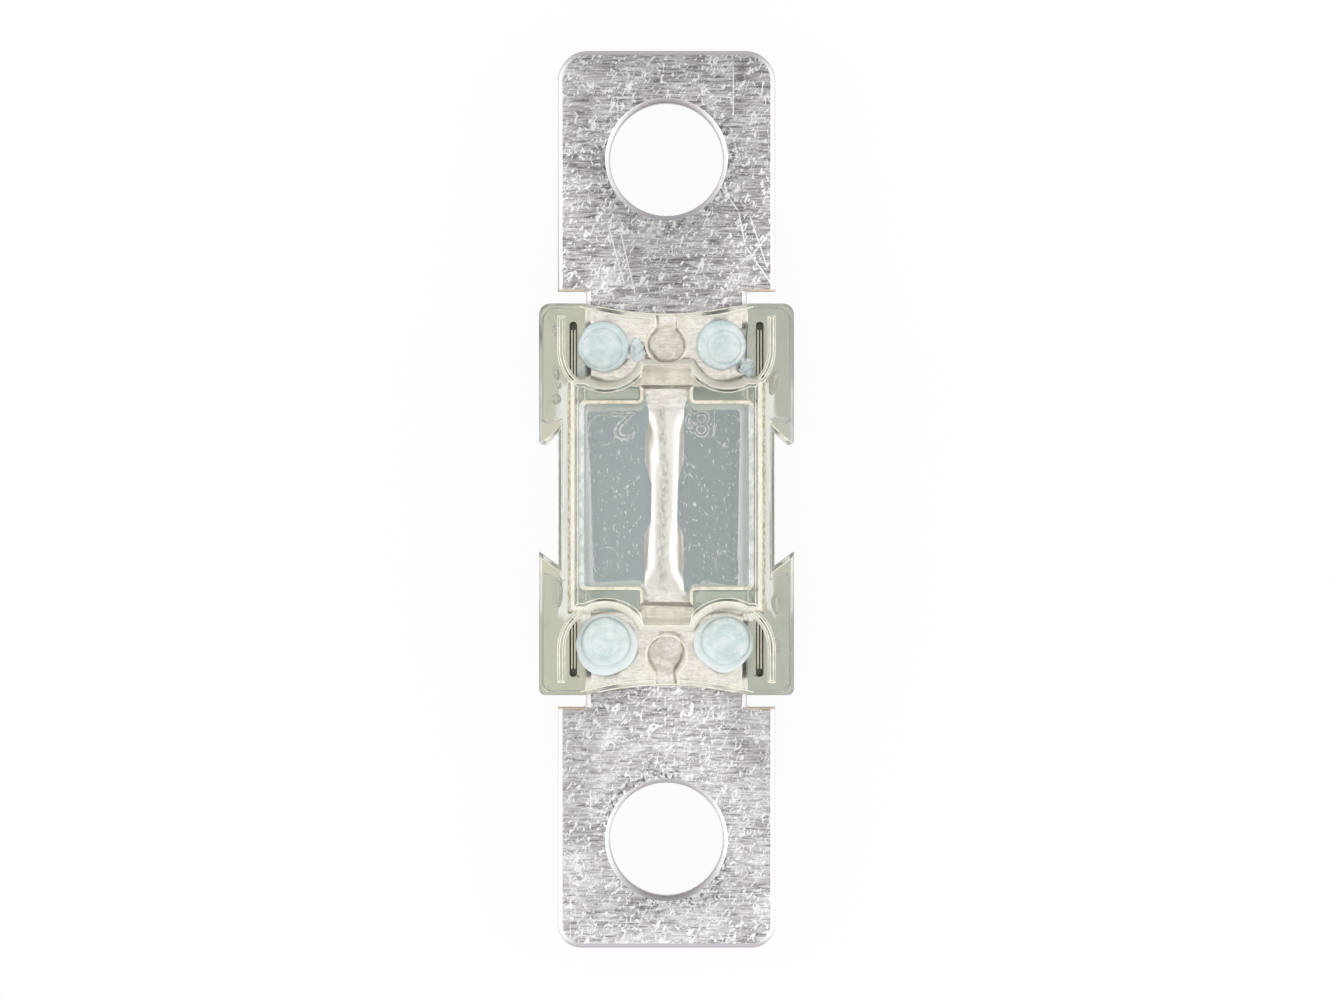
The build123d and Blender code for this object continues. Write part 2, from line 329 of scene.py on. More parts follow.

# %% [markdown]
# ## Table
#
# The fuse lies on white. To the eye the table is plain white, which a little of its own glow gives.
# A part of it is always lit like a real table, so that the fuse keeps its soft shadow. What is seen
# through the plastic gets its own colours, which are painted shadow and painted light laid out by
# place. Under the wings the painted light is greener, as light that has already come down through
# the plastic once. Under the box, which stands on the table, a dim blue grey painted shadow lies,
# but a paler band of painted light crosses it at each end of the chamber, and the gaps beside the
# box are white. The right side is painted a little darker.

# %% Table
table_size = 2.4
clear_selection()
bpy.ops.mesh.primitive_plane_add(size=table_size, location=(0, 0, table_z))
table = bpy.context.object
table.name = "table"
print("table:", table_size, "m wide")

# %% [markdown]
# ## Table paint
#
# Two shaders are mixed: dull white paint, and a glow whose share depends on which ray asks. The
# colours that show through the plastic are painted shadow and painted light, laid out by place as
# patches under it.

# %% Table paint
table_paint, tree, shader = new_material("table_paint")
fill(tree, shader.inputs, {"Base Color": grey(0.86), "Roughness": 0.9, "Specular IOR Level": 0.1})
glow = add(tree, "Emission", {"Color": grey(1), "Strength": 1.0})
ray = add(tree, "LightPath").outputs
glow_to_eye, glow_in_metal, glow_through_plastic = 0.92, 0.85, 0.90
# painted shadow and painted light on the table, seen only through the plastic
beyond_fuse, chamber_end_light = grey(0.98), (0.72, 0.73, 0.66, 1)
wing_light_left, wing_light_right = (0.62, 0.605, 0.49, 1), (0.51, 0.53, 0.46, 1)
box_shadow_left, box_shadow_right = (0.32, 0.375, 0.395, 1), (0.285, 0.33, 0.345, 1)
# each pair below is where a patch starts to fade and where it ends, away from the middle
wing_reach, wing_end = (9.8 * mm, 10.4 * mm), (14.6 * mm, 15.4 * mm)
gap_near, gap_far, gap_end = 6.5 * mm, 7.9 * mm, (8.8 * mm, 9.2 * mm)
box_middle, box_reach, box_end = 0.38 * mm, (6.25 * mm, 6.6 * mm), (7.0 * mm, 7.3 * mm)
edge_reach, edge_near, edge_far = (6.0 * mm, 6.3 * mm), 7.35 * mm, 8.45 * mm
past_reach, past_near, past_far = (5.3 * mm, 5.6 * mm), 8.7 * mm, 12.5 * mm
share = calc(tree, "MAXIMUM", calc(tree, "MULTIPLY", ray["Is Camera Ray"], glow_to_eye),
             calc(tree, "MULTIPLY", ray["Is Glossy Ray"], glow_in_metal))
bent = ray["Is Transmission Ray"]
share = both(tree, share, without(tree, bent))
share = calc(tree, "ADD", share, calc(tree, "MULTIPLY", bent, glow_through_plastic))
x, y = places(tree)[:2]
far_x, far_y = size_of(tree, x), size_of(tree, y)


def up_to(value, reach):
    """1 as far as the first place, fading to 0 at the second."""
    return between(tree, value, reach[1], reach[0])


wings = both(tree, up_to(far_x, wing_reach), up_to(far_y, wing_end))
beside_box = both(tree, inside(tree, far_x, gap_near, gap_far, 0.15 * mm), up_to(far_y, gap_end))
wings = both(tree, wings, without(tree, beside_box))
box_y = size_of(tree, calc(tree, "SUBTRACT", y, box_middle))
box = both(tree, up_to(far_x, box_reach), up_to(box_y, box_end))
at_ends = both(tree, up_to(far_x, edge_reach), inside(tree, box_y, edge_near, edge_far, 0.1 * mm))
past_ends = inside(tree, box_y, past_near, past_far, 0.15 * mm)
past_ends = both(tree, up_to(far_x, past_reach), past_ends)
to_right = between(tree, x, -1 * mm, 1 * mm)
# painted light under the wings and at the chamber's ends, painted shadow under the box
light_and_shadow_below = blend(tree, wings, beyond_fuse, blend(tree, to_right, wing_light_left, wing_light_right))
light_and_shadow_below = blend(tree, at_ends, light_and_shadow_below, chamber_end_light)
light_and_shadow_below = blend(tree, calc(tree, "MAXIMUM", box, past_ends), light_and_shadow_below,
             blend(tree, to_right, box_shadow_left, box_shadow_right))
fill(tree, glow.inputs, {"Color": blend(tree, bent, grey(1), light_and_shadow_below)})
lit_and_glowing = add(tree, "MixShader", {0: share, 1: shader.outputs[0], 2: glow.outputs[0]})
tree.links.new(lit_and_glowing.outputs[0], tree.nodes["Material Output"].inputs["Surface"])
table.data.materials.append(table_paint)
print("table paint:", len(tree.nodes), "nodes")

# %% [markdown]
# ## Plating
#
# The strip is rolled, plated and then stamped. Rolling leaves fine streaks across it, plating makes
# it a pale grey with a breath of purple, and years in a parts drawer leave flecks, scratches and
# dark specks round the stud holes. Where the punch went through, the bare alloy shows its tan
# colour low on the cut walls and along the shoulders.
#
# The plating comes first: fine streaks and broad blotches are noise at two sizes, added up, and a
# colour ramp turns the sum into three greys.

# %% Plating
plating_dark = (0.20, 0.182, 0.185, 1)
plating_mid = (0.53, 0.498, 0.502, 1)
plating_light = (0.84, 0.815, 0.815, 1)

strip_metal, tree, shader = new_material("strip_metal")
x, y, z, facing = places(tree)
far_x, far_y = size_of(tree, x), size_of(tree, y)
streaks = grain(tree, (640, 5600, 640), detail=4, roughness=0.78, warp=0.5)
blotches = grain(tree, (260, 340, 230), shift=(0.02, 0.05, 0), detail=2, warp=0.6)
tone = calc(tree, "ADD", calc(tree, "MULTIPLY", streaks, 0.80),
            calc(tree, "MULTIPLY", blotches, 0.20))
# painted light: the plating is painted a little lighter towards the lower terminal
tone = calc(tree, "ADD", tone, between(tree, y, -20 * mm, 20 * mm, 0.012, -0.022))
plating = add(tree, "ValToRGB", {0: tone})
darkest, lightest = plating.color_ramp.elements
darkest.position, darkest.color = 0.38, plating_dark
lightest.position, lightest.color = 0.62, plating_light
plating.color_ramp.elements.new(0.49).color = plating_mid
print("plating:", len(tree.nodes), "nodes")

# %% [markdown]
# ## Flecks, scratches and specks
#
# Flecks are a finer noise. A curved scratch is the thin line where a broad noise crosses its middle
# value. The long scratches are placed one by one: each is the set of points close to a line between
# two ends. Dark specks gather in patches round the stud holes.

# %% Flecks, scratches and specks
scratch_white, speck_grey = (0.99, 0.98, 0.975, 1), (0.12, 0.115, 0.125, 1)
scratch_width, scratch_fade = 0.08 * mm, 0.85
scratch_ends = [  # in mm, on the upper terminal
    ((4.0, 23.5), (5.4, 21.6)), ((5.4, 21.6), (5.9, 19.0)), ((5.9, 19.0), (8.0, 15.9)),
    ((6.2, 21.4), (7.6, 17.2)), ((-4.4, 20.6), (-3.1, 15.9)), ((-3.5, 20.2), (-2.3, 15.2)),
    ((5.0, 32.6), (5.0, 28.6)), ((6.5, 18.4), (7.9, 20.2)),
]


def line_mask(tree, start, end):
    """1 on the straight line between two points of the strip's face, 0 away from it."""
    place = add(tree, "TexCoord").outputs["Object"]
    a, b = Vector((*start, 0)) * mm, Vector((*end, 0)) * mm
    length = (b - a).length
    along = (b - a) / length
    across = Vector((-along.y, along.x, 0))
    offset = add(tree, "VectorMath", {0: place, 1: (a + b) / 2}, operation="SUBTRACT").outputs[0]
    step = add(tree, "VectorMath", {0: offset, 1: along}, operation="DOT_PRODUCT").outputs["Value"]
    away = add(tree, "VectorMath", {0: offset, 1: across}, operation="DOT_PRODUCT").outputs["Value"]
    near = between(tree, size_of(tree, away), scratch_width, 0.0)
    on_length = between(tree, size_of(tree, step), length / 2, length / 2 * scratch_fade)
    return both(tree, near, on_length)


flecks = between(tree, grain(tree, (2700, 1500, 2000), turn=0.5, detail=2, warp=1.6), 0.56, 0.62)
broad = grain(tree, (620, 760, 500), detail=2, warp=1.4)
curly = size_of(tree, calc(tree, "SUBTRACT", broad, 0.5))
curls = both(tree, between(tree, curly, 0.013, 0.0), between(tree, blotches, 0.45, 0.53))
marks = calc(tree, "MAXIMUM", curls, calc(tree, "MULTIPLY", flecks, 0.85))
for start, end in scratch_ends:
    marks = calc(tree, "MAXIMUM", marks, line_mask(tree, start, end))
colour = blend(tree, marks, plating.outputs[0], scratch_white)

from_hole = distance(tree, x, far_y, stud_y)
patches = between(tree, grain(tree, (300, 280, 200), shift=(0.013, 0, 0), detail=1), 0.46, 0.58)
specks = between(tree, grain(tree, (3600, 3200, 3000), shift=(0.01, 0.03, 0), detail=2), 0.53, 0.62)
near_hole = both(tree, between(tree, from_hole, 6.4 * mm, 4.8 * mm), patches)
specks = both(tree, specks, between(tree, near_hole, 0.0, 1.0, 0.08, 0.9))
colour = blend(tree, specks, colour, speck_grey)
print("scratches:", len(scratch_ends))

# %% [markdown]
# ## The strip under the plastic
#
# Under the moulding the plating is smoother and painted brighter, with softer spots: painted light
# that comes down through the clear plastic. It is duller in the gate wells. The moulding's two ends
# are arched, so the painted light ends on a shallow curve. On the link the metal is smoother, with
# one mottled streak of painted shade, a dark painted reflection, that wanders along the middle.

# %% The strip under the plastic
arch = -21.0
painted_light_low, painted_light_high = (0.86, 0.825, 0.80, 1), (1.0, 0.985, 0.965, 1)
bright_streak, gate_tan = (0.80, 0.765, 0.74, 1), (0.68, 0.625, 0.57, 1)
link_light, link_streak_shade = (1.0, 0.985, 0.98, 1), (0.50, 0.485, 0.48, 1)

mouth = calc(tree, "ADD", calc(tree, "MULTIPLY", calc(tree, "MULTIPLY", x, x), arch), far_y)
covered = both(tree, between(tree, mouth, 13.95 * mm, 13.6 * mm),
               between(tree, far_y, 6.3 * mm, 6.9 * mm))
soft_spots = grain(tree, (1500, 2300, 1300), shift=(0.004, 0, 0), detail=3, roughness=0.7, warp=0.6)
# painted light: the plating under the moulding is painted brighter
bright = blend(tree, between(tree, soft_spots, 0.40, 0.56), painted_light_low, painted_light_high)
bright = blend(tree, between(tree, tone, 0.45, 0.40), bright, bright_streak)
gate = between(tree, distance(tree, x, far_y, gate_y), 1.55 * mm, 1.35 * mm)
gate = both(tree, gate, between(tree, soft_spots, 0.36, 0.60, 1.0, 0.35))
bright = blend(tree, gate, bright, gate_tan)
colour = blend(tree, covered, colour, bright)
on_link = between(tree, far_y, 7.0 * mm, 6.4 * mm)
# painted shade: a dark mottled streak along the link's middle, a painted reflection
wander = calc(tree, "ADD", between(tree, y, 1.5 * mm, 5.5 * mm, 0.12 * mm, 0.50 * mm), x)
in_shade_streak = between(tree, size_of(tree, wander), 0.62 * mm, 0.12 * mm)
mottle = grain(tree, (4200, 1700, 1300), detail=3, roughness=0.7)
mottle = between(tree, mottle, 0.38, 0.64, 0.15, 0.9)
link_colour = blend(tree, both(tree, in_shade_streak, mottle), link_light, link_streak_shade)
colour = blend(tree, on_link, colour, link_colour)
print("under the plastic:", len(tree.nodes), "nodes")

# %% [markdown]
# ## Cut edges
#
# The punch rolled the strip's upper edges over, and they are told from the flat faces by how far
# their normals lean: a pale painted highlight at the two long sides and a grey painted shade at the
# two ends, with a darker painted shade low on the roll. Low on the cut walls and on the shoulders
# beside the moulding, the metal tore and shows its bare alloy.

# %% Cut edges
bare_alloy, edge_shade = (0.64, 0.53, 0.38, 1), (0.34, 0.32, 0.34, 1)
rolled_side_highlight, rolled_end_shade = (0.97, 0.945, 0.945, 1), (0.56, 0.53, 0.56, 1)

normal = add(tree, "TexCoord").outputs["Normal"]
to_ends = size_of(tree, add(tree, "SeparateXYZ", {0: normal}).outputs["Y"])
steep = between(tree, size_of(tree, facing), 0.35, 0.15)
outside = between(tree, far_y, 14.3 * mm, 14.5 * mm)
torn = both(tree, steep, between(tree, z, 0.62 * mm, 0.45 * mm), outside)
shoulder = both(tree, between(tree, far_x, 6.05 * mm, 6.2 * mm),
                between(tree, far_y, 15.78 * mm, 15.70 * mm))
rolled = between(tree, facing, 0.985, 0.90)
# painted highlight on the rolled long sides, painted shade on the rolled ends
rolled_highlight_and_shade = blend(tree, between(tree, to_ends, 0.30, 0.66), rolled_side_highlight, rolled_end_shade)
on_neck = between(tree, far_y, 8.4 * mm, 8.6 * mm)
colour = blend(tree, both(tree, rolled, on_neck), colour, rolled_highlight_and_shade)
colour = blend(tree, calc(tree, "MAXIMUM", torn, shoulder), colour, bare_alloy)
# painted shade on the lowest slope of the roll
outermost = both(tree, between(tree, facing, 0.69, 0.64), outside)
colour = blend(tree, calc(tree, "MULTIPLY", outermost, 0.8), colour, edge_shade)
print("edges:", len(tree.nodes), "nodes")

# %% [markdown]
# ## The strip's finish
#
# The streaks are felt as well as seen, so they drive the bump and the roughness too. Both are
# calmer under the plastic, where nothing has touched the metal.

# %% The strip's finish
calm = without(tree, calc(tree, "MAXIMUM", on_link, calc(tree, "MULTIPLY", covered, 0.85)))
height = both(tree, calc(tree, "ADD", streaks, calc(tree, "MULTIPLY", flecks, 0.3)), calm)
roughness = between(tree, streaks, 0.3, 0.7, 0.44, 0.28)
roughness = calc(tree, "SUBTRACT", roughness, calc(tree, "MULTIPLY", covered, 0.14))
fill(tree, shader.inputs, {
    "Base Color": colour, "Metallic": 1.0,
    "Roughness": roughness, "Normal": bump(tree, height, 0.5, 0.012 * mm),
})
print("strip metal:", len(tree.nodes), "nodes")

# %% [markdown]
# ## Clear plastic
#
# Both mouldings are clear, and their tint comes from their depth: light is coloured by how far it
# goes through the plastic, not by the surface. So the surface stays nearly white, with a faint
# ripple from the mould, and absorption inside the volume does the colouring. The base is pale
# straw and the cover grey blue, and together they give the wings their grey green. The steep walls
# are rougher than the flat faces, as in a mould that is only polished where it is easy to reach.
#
# The slots beside the posts are deep and thin. Their walls and floors are painted dark as painted
# shade, and the tongue standing in each of them keeps two cream edges of painted highlight.

# %% Clear plastic
straw_face, straw_tint, straw_depth = (0.99, 0.985, 0.97, 1), (0.66, 0.54, 0.16, 1), 45
blue_face, blue_tint, blue_depth = (0.965, 0.985, 0.99, 1), (0.22, 0.40, 0.36, 1), 100
slot_x, slot_half_w = 6.95 * mm, 0.30 * mm
slot_near, slot_far = 9.0 * mm, 13.28 * mm
# painted shade in the slots, painted highlight on the tongue's edges
slot_shade, tongue_highlight = (0.012, 0.009, 0.006, 1), (1.0, 0.80, 0.50, 1)


def clear_plastic(name, tint, density):
    """Clear plastic with rippled, slightly scuffed faces and rough walls, tinted by its depth."""
    material, tree, shader = new_material(name)
    x, y, z, facing = places(tree)
    far_x, far_y = size_of(tree, x), size_of(tree, y)
    level = size_of(tree, facing)
    ripple = grain(tree, (420, 300, 400), detail=2, warp=0.8)
    scuffs = between(tree, grain(tree, (2600, 1500, 2000), turn=0.4, detail=3), 0.58, 0.70)
    wall = between(tree, level, 0.90, 0.60)
    rough = calc(tree, "MAXIMUM", calc(tree, "MULTIPLY", scuffs, 0.22),
                 calc(tree, "MULTIPLY", wall, 0.42))
    height = calc(tree, "ADD", ripple, calc(tree, "MULTIPLY", scuffs, 0.15))
    height = both(tree, height, without(tree, wall))
    slot = both(tree, inside(tree, far_x, slot_x - slot_half_w, slot_x + slot_half_w, 0.01 * mm),
                inside(tree, far_y, slot_near, slot_far, 0.02 * mm))
    fill(tree, shader.inputs, {
        "IOR": 1.5, "Transmission Weight": 1.0, "Roughness": calc(tree, "ADD", rough, 0.03),
        "Normal": bump(tree, height, 0.25, 0.03 * mm),
    })
    depth = add(tree, "VolumeAbsorption", {"Color": tint, "Density": density})
    tree.links.new(depth.outputs[0], tree.nodes["Material Output"].inputs["Volume"])
    return material, tree, shader, far_x, z, level, slot


straw_plastic, tree, shader, _, _, level, slot = clear_plastic(
    "straw_plastic", straw_tint, straw_depth)
# painted shade on the slots' walls
slot_wall = both(tree, slot, between(tree, level, 0.6, 0.3))
fill(tree, shader.inputs, {"Base Color": blend(tree, slot_wall, straw_face, slot_shade)})

blue_plastic, tree, shader, far_x, z, _, slot = clear_plastic("blue_plastic", blue_tint, blue_depth)
# painted shade on the slots' floors, with painted highlight beside each tongue
slot_floor = both(tree, slot, between(tree, z, -0.2 * mm, -0.1 * mm))
from_slot = size_of(tree, calc(tree, "SUBTRACT", far_x, slot_x))
tongue = both(tree, between(tree, z, 0.0, 0.2 * mm), between(tree, from_slot, 0.05 * mm, 0.08 * mm))
in_slot = blend(tree, tongue, slot_shade, tongue_highlight)
fill(tree, shader.inputs, {"Base Color": blend(tree, slot_floor, blue_face, in_slot)})
print("clear plastics:", straw_plastic.name, blue_plastic.name)

# %% [markdown]
# ## Milky plastic
#
# Where a post was melted over, the clear plastic has gone milky: it is full of tiny bubbles that
# scatter the light. Light goes a little way into it, under a dull skin. The thin skirt that was
# squeezed out round a head is paler than the head.

# %% Milky plastic
milk_thick, milk_thin = (0.52, 0.61, 0.62, 1), (0.66, 0.72, 0.725, 1)
skirt_pale, pore_white = (0.66, 0.725, 0.735, 1), (0.80, 0.84, 0.85, 1)
skirt_top = (2.68 * mm, 2.80 * mm)

milky_plastic, tree, shader = new_material("milky_plastic")
z = places(tree)[2]
cloud = grain(tree, (900, 900, 900), detail=3, warp=0.5)
milk = blend(tree, between(tree, cloud, 0.38, 0.62), milk_thick, milk_thin)
milk = blend(tree, between(tree, z, skirt_top[1], skirt_top[0]), milk, skirt_pale)
pores = between(tree, grain(tree, (4200, 4200, 4200), detail=1), 0.62, 0.70)
milk = blend(tree, calc(tree, "MULTIPLY", pores, 0.4), milk, pore_white)
fill(tree, shader.inputs, {
    "Base Color": milk, "Roughness": between(tree, cloud, 0.3, 0.7, 0.5, 0.32), "IOR": 1.5,
    "Subsurface Weight": 0.25, "Subsurface Radius": (0.5 * mm, 0.6 * mm, 0.6 * mm),
    "Subsurface Scale": 1.0,
    "Normal": bump(tree, cloud, 0.4, 0.04 * mm),
})
print("milky plastic:", len(tree.nodes), "nodes")

# %% [markdown]
# ## Strip
#
# The strip's solid is right in outline, but its edges are plain chamfers. A softened copy of it
# becomes the visible strip. The copy's loose triangles are merged, flat neighbours are joined back
# into whole faces, and a bevel turns each chamfer into the soft roll that a punch leaves.


# %% Strip
def merged(node):
    """A copy of a solid, with its triangles joined back into whole faces."""
    piece = bpy.data.objects.new(node + "_soft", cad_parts[node].data.copy())
    bpy.context.collection.objects.link(piece)
    edit(piece)
    bpy.ops.mesh.select_all(action="SELECT")
    bpy.ops.mesh.remove_doubles(threshold=0.0001 * mm)
    bpy.ops.mesh.dissolve_limited(angle_limit=radians(0.5))
    leave_edit()
    return piece


def soften(piece, width, segments=2):
    """Rounds every sharp edge of a piece."""
    soft = piece.modifiers.new("soft_edges", "BEVEL")
    soft.width = width
    soft.segments = segments
    soft.limit_method = "ANGLE"
    soft.angle_limit = radians(28)
    apply_modifiers(piece)


strip = merged("fuse_strip")
soften(strip, 0.13 * mm, 3)
finish_piece(strip, "strip", strip_metal, 30)
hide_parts("fuse_strip")
print("strip:", len(strip.data.polygons), "faces")

# %% [markdown]
# ## Base and cover
#
# The mouldings get the same treatment. On clear plastic each rounded edge draws a light line and a
# dark line beside it. The cover's upper face lies hidden against the base, where rounded edges
# would only draw lines that the real part does not have, so the cover keeps its edges and is
# rounded by its shading alone. The chamfer under its flange would mirror the dark inside as a line
# all round, so it is drawn down to a square edge. The heads of its posts are cut off at the pocket
# floor, because they are modelled one by one later.

# %% Base and cover
inside_flange = 7.4 * mm
base = merged("base")
soften(base, 0.06 * mm)
finish_piece(base, "base_moulding", straw_plastic)
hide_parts("base")

cover = merged("cover")
edit(cover)
bpy.ops.mesh.select_all(action="SELECT")
bpy.ops.mesh.bisect(plane_co=(0, 0, pocket_floor - 0.02 * mm), plane_no=(0, 0, 1),
                    threshold=0.001 * mm, use_fill=True, clear_outer=True)
bpy.ops.mesh.select_all(action="DESELECT")
mesh = bmesh.from_edit_mesh(cover.data)
for vertex in mesh.verts:
    on_chamfer = abs(vertex.co.z - flange_chamfer) < 0.01 * mm
    vertex.select_set(on_chamfer and abs(vertex.co.x) > inside_flange)
mesh.select_flush_mode()
print("chamfer vertices:", sum(vertex.select for vertex in mesh.verts))
bmesh.update_edit_mesh(cover.data)
bpy.ops.transform.translate(value=(0, 0, flange_edge - flange_chamfer))
leave_edit()
finish_piece(cover, "cover_moulding", blue_plastic)
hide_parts("cover")
print("base:", len(base.data.polygons), "faces, cover:", len(cover.data.polygons), "faces")

# %% [markdown]
# ## Pale edges
#
# Nearly every edge of the dome, the ribs and the gate wells is drawn as a pale line of painted
# highlight, and these lines draw the plastic's shapes. Another copy of the base is taken apart:
# only its sharp, nearly level upper edges stay. They become curves with a hair-thin round section,
# which are made into a mesh again. No line may stand higher than the dome's top.

# %% Pale edges
edge_r, sharp_angle = 0.055 * mm, radians(28)
# painted highlight colours for the pale edge lines
highlight_dull, highlight_pale = (0.76, 0.74, 0.60, 1), (0.96, 0.93, 0.84, 1)
edge_highlight, tree, shader = new_material("edge_highlight")
glint = grain(tree, (1900, 1900, 1900), detail=3)
fill(tree, shader.inputs, {
    "Base Color": blend(tree, between(tree, glint, 0.35, 0.65), highlight_dull, highlight_pale),
    "Roughness": between(tree, glint, 0.3, 0.7, 0.45, 0.65), "IOR": 1.5,
})


def catches_highlight(edge):
    """Whether an edge of the base is one that gets a line of painted highlight."""
    a, b = [v.co for v in edge.verts]
    at = (a + b) / 2
    from_post = (Vector((abs(at.x), abs(at.y - off_middle))) - Vector((post_x, post_y))).length
    at_floor = at.z < pocket_floor + 0.1 * mm
    in_slot = abs(abs(at.x) - slot_x) < 0.4 * mm and abs(at.y) > slot_near - 0.1 * mm and at_floor
    sharp = edge.is_manifold and edge.calc_face_angle() > sharp_angle
    on_ceiling = 3.9 * mm < at.z < 4.1 * mm
    level = abs(a.z - b.z) < 0.3 * mm and min(a.z, b.z) > 2.1 * mm and not on_ceiling
    inward = abs(at.x) < 8.7 * mm and abs(at.y) < 14.3 * mm
    return sharp and level and inward and from_post > 1.7 * mm and not in_slot


def at_gate(edge):
    """Whether an edge runs round one of the two gate wells."""
    at = (edge.verts[0].co + edge.verts[1].co) / 2
    at_floor = at.z < pocket_floor + 0.1 * mm
    return abs(at.x) < 1.7 * mm and 9.9 * mm < abs(at.y) < 13.5 * mm and at_floor


def pale_lines(name, wanted, radius, material, flatness=1.0):
    """Keeps only the wanted edges of a copy of the base, as hair-thin round or flat lines."""
    lines = merged("base")
    edit(lines)
    bpy.ops.mesh.select_mode(type="EDGE")
    bpy.ops.mesh.select_all(action="DESELECT")
    mesh = bmesh.from_edit_mesh(lines.data)
    for edge in mesh.edges:
        edge.select_set(not wanted(edge))
    bmesh.update_edit_mesh(lines.data)
    bpy.ops.mesh.delete(type="EDGE")
    bpy.ops.mesh.select_all(action="SELECT")
    bpy.ops.mesh.delete(type="ONLY_FACE")
    bpy.ops.mesh.select_mode(type="VERT")
    leave_edit()
    bpy.ops.object.convert(target="CURVE")
    lines = bpy.context.object
    lines.data.bevel_depth = radius
    lines.data.bevel_resolution = 1
    lines.data.use_fill_caps = True
    bpy.ops.object.convert(target="MESH")
    lines = bpy.context.object
    if flatness < 1:
        lines.scale.z = flatness
        lines.location.z = pocket_floor * (1 - flatness) + radius * flatness
    else:
        for vertex in lines.data.vertices:
            vertex.co.z = min(vertex.co.z - 0.3 * radius, dome_top)
    finish_piece(lines, name, material, 60)
    print(name, "-", len(lines.data.polygons), "faces")


# painted highlight lines along the dome's and ribs' edges
pale_lines("edge_highlights", lambda edge: catches_highlight(edge) and not at_gate(edge), edge_r, edge_highlight)

# %% [markdown]
# ## Frosted walls
#
# The mould was polished only on its flat faces, and the dome's leaning walls are left frosted and
# look cream. They are picked out of a copy of the base by how much their faces lean, moved out by
# a hair and made into a skin. A part of the light passes through it, and the rest is scattered as
# by frosted glass. The corner along the dome's foot gets a painted shade, an olive line with darker
# specks.

# %% Frosted walls
frost_low, frost_high, olive_corner_shade = (0.94, 0.89, 0.76, 1), (1, 0.97, 0.88, 1), (0.42, 0.38, 0.19, 1)
foot_near, foot_far = 7.14 * mm, 7.36 * mm
cream_frost, tree, shader = new_material("cream_frost")
fine = grain(tree, (2100, 1500, 900), detail=3, roughness=0.6)
frosted = blend(tree, between(tree, fine, 0.40, 0.62), frost_low, frost_high)
x, y = places(tree)[:2]
far_x, far_y = size_of(tree, x), size_of(tree, y)
# painted shade in the corner along the dome's foot
foot = inside(tree, far_x, foot_near, foot_far, 0.04 * mm)
foot = both(tree, foot, between(tree, far_y, 9.0 * mm, 8.6 * mm))
shade_specks = between(tree, grain(tree, (4500, 3600, 2000), detail=2), 0.44, 0.60, 0.35, 1.0)
fill(tree, shader.inputs, {
    "Base Color": blend(tree, both(tree, foot, shade_specks), frosted, olive_corner_shade),
    "Roughness": between(tree, fine, 0.3, 0.7, 0.45, 0.65), "IOR": 1.5, "Transmission Weight": 0.15,
})
skin = merged("base")
edit(skin)
pick_faces(skin, lambda centre, normal: 0.15 < normal.z < 0.5 and centre.z > pocket_floor)
keep_picked()
bpy.ops.transform.shrink_fatten(value=0.025 * mm)
leave_edit()
solid = skin.modifiers.new("skin", "SOLIDIFY")
solid.thickness = 0.015 * mm
solid.offset = -1
apply_modifiers(skin)
finish_piece(skin, "dome_frost", cream_frost, 30)
print("frosted walls:", len(skin.data.polygons), "faces")

# %% [markdown]
# ## Inner light
#
# Some pale lines lie deeper: the band that the chamber's leaning walls show from above, and the
# two edges of the tongue in each slot. A dull surface gets no light down there, so these lines are
# painted highlights: flat ribbons with a metallic finish, standing for the light that the plastic's
# own edge throws back like a tiny mirror, bluish along the chamber's sides and cream at its ends.

# %% Inner light
side_dim, side_light = (0.66, 0.73, 0.73, 1), (0.88, 0.94, 0.94, 1)
end_dim, end_light = (0.84, 0.78, 0.63, 1), (0.99, 0.94, 0.82, 1)
inner_light, tree, shader = new_material("inner_light")
y = places(tree)[1]
chamber_y = size_of(tree, calc(tree, "SUBTRACT", y, off_middle))
at_ends = between(tree, chamber_y, 6.70 * mm, 6.78 * mm)
glint_patches = between(tree, grain(tree, (1700, 1300, 900), detail=3), 0.36, 0.60)
# painted highlight, bluish on the chamber's sides and cream at its ends
bluish = blend(tree, glint_patches, side_dim, side_light)
creamy = blend(tree, glint_patches, end_dim, end_light)
fill(tree, shader.inputs, {
    "Base Color": blend(tree, at_ends, bluish, creamy), "Metallic": 1.0,
    "Roughness": between(tree, glint_patches, 0.0, 1.0, 0.28, 0.16),
})
print("inner light:", len(tree.nodes), "nodes")

# %% [markdown]
# ## Chamber rim
#
# The band is made from the chamber's walls themselves, taken from a copy of the base and pressed
# flat just above the ceiling. The walls at the ends of the two throats are left out, because a
# ribbon there would only throw a shadow on the link's root.

# %% Chamber rim
rim_z, rim_thickness = 4.03 * mm, 0.006 * mm
chamber_reach, chamber_end, above_ceiling = 6.7 * mm, 7.8 * mm, 4.1 * mm


def chamber_wall(centre, normal):
    """Whether a face of the base is one of the chamber's leaning walls."""
    leaning = -0.3 < normal.z < -0.03 and 0 < centre.z < above_ceiling
    return leaning and abs(centre.x) < chamber_reach and abs(centre.y - off_middle) < chamber_end


# the chamber rim is a band of painted highlight
rim = merged("base")
edit(rim)
pick_faces(rim, chamber_wall)
keep_picked()
bpy.ops.transform.resize(value=(1, 1, 0.001), center_override=(0, 0, rim_z))
leave_edit()
solid = rim.modifiers.new("ribbon", "SOLIDIFY")
solid.thickness = rim_thickness
apply_modifiers(rim)
finish_piece(rim, "chamber_rim", inner_light, 30)
print("rim:", len(rim.data.polygons), "faces,", [round(v / mm, 2) for v in rim.dimensions], "mm")

